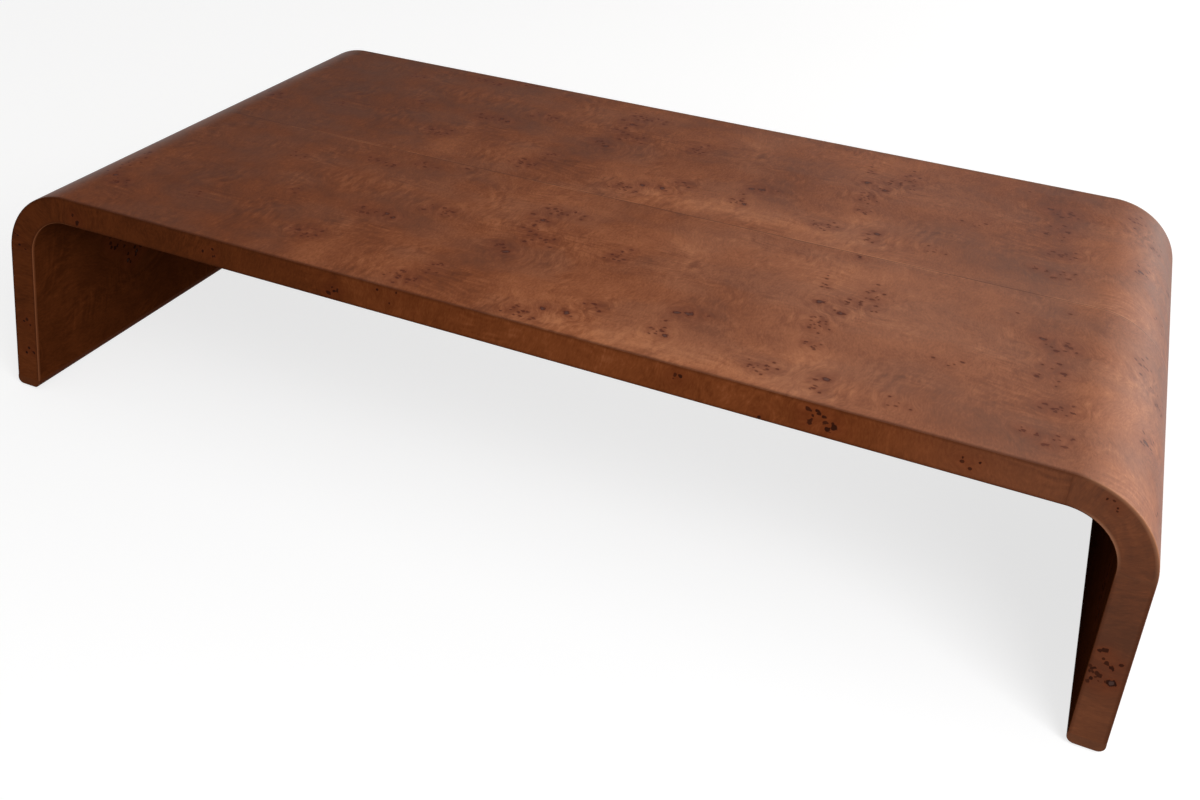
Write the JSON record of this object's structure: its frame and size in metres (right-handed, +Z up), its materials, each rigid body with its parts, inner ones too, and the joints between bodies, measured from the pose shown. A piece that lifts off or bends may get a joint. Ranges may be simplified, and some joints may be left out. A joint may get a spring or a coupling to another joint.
{
  "type": "waterfall coffee table",
  "caption": "Low rectangular coffee table whose veneered slab top curves down at both ends into full-depth panel legs.",
  "frame": {"origin": "on the floor, under the middle of the table, at the level of the glides' lower faces", "axes": "+X along the length to the right, +Y from the front edge to the rear edge, +Z up"},
  "size_m": [1.524, 0.905, 0.33],
  "materials": {
    "face_veneer": "mappa burl veneer, stained cognac brown, satin lacquer",
    "inside_veneer": "mappa burl veneer, stained cognac brown, satin lacquer",
    "edge_veneer": "burl veneer edge band, stained and lacquered to match",
    "skin_board": "medium-density fibreboard, unfinished",
    "frame_wood": "poplar, planed",
    "stave_wood": "poplar, coopered and turned round",
    "lipping": "solid hardwood lipping with rounded lower edges, stained to match",
    "beech_dowel": "beech dowel, fluted stock shown plain",
    "nylon": "dark nylon, moulded"
  },
  "bodies": {
    "root": {"front_edge_band_left_bend": "edge_veneer", "front_edge_band_left_leg": "edge_veneer", "front_edge_band_right_bend": "edge_veneer", "front_edge_band_right_leg": "edge_veneer", "front_edge_band_top": "edge_veneer", "inner_veneer_front_leaf": "inside_veneer", "inner_veneer_rear_leaf": "inside_veneer", "left_bend_stave_1": "stave_wood", "left_bend_stave_2": "stave_wood", "left_bend_stave_3": "stave_wood", "left_bend_stave_4": "stave_wood", "left_foot_lipping": "lipping", "left_front_glide": "nylon", "left_leg_foot_rail": "frame_wood", "left_leg_front_stile": "frame_wood", "left_leg_head_rail": "frame_wood", "left_leg_inner_skin": "skin_board", "left_leg_joint_dowels": "beech_dowel", "left_leg_outer_skin": "skin_board", "left_leg_rear_stile": "frame_wood", "left_rear_glide": "nylon", "left_top_joint_dowels": "beech_dowel", "outer_veneer_front_leaf": "face_veneer", "outer_veneer_rear_leaf": "face_veneer", "rear_edge_band_left_bend": "edge_veneer", "rear_edge_band_left_leg": "edge_veneer", "rear_edge_band_right_bend": "edge_veneer", "rear_edge_band_right_leg": "edge_veneer", "rear_edge_band_top": "edge_veneer", "right_bend_stave_1": "stave_wood", "right_bend_stave_2": "stave_wood", "right_bend_stave_3": "stave_wood", "right_bend_stave_4": "stave_wood", "right_foot_lipping": "lipping", "right_front_glide": "nylon", "right_leg_foot_rail": "frame_wood", "right_leg_front_stile": "frame_wood", "right_leg_head_rail": "frame_wood", "right_leg_inner_skin": "skin_board", "right_leg_joint_dowels": "beech_dowel", "right_leg_outer_skin": "skin_board", "right_leg_rear_stile": "frame_wood", "right_rear_glide": "nylon", "right_top_joint_dowels": "beech_dowel", "top_cross_rib_1": "frame_wood", "top_cross_rib_2": "frame_wood", "top_cross_rib_3": "frame_wood", "top_cross_rib_4": "frame_wood", "top_front_rail": "frame_wood", "top_left_end_rail": "frame_wood", "top_lower_skin": "skin_board", "top_rear_rail": "frame_wood", "top_right_end_rail": "frame_wood", "top_upper_skin": "skin_board"}
  },
  "joints": []
}
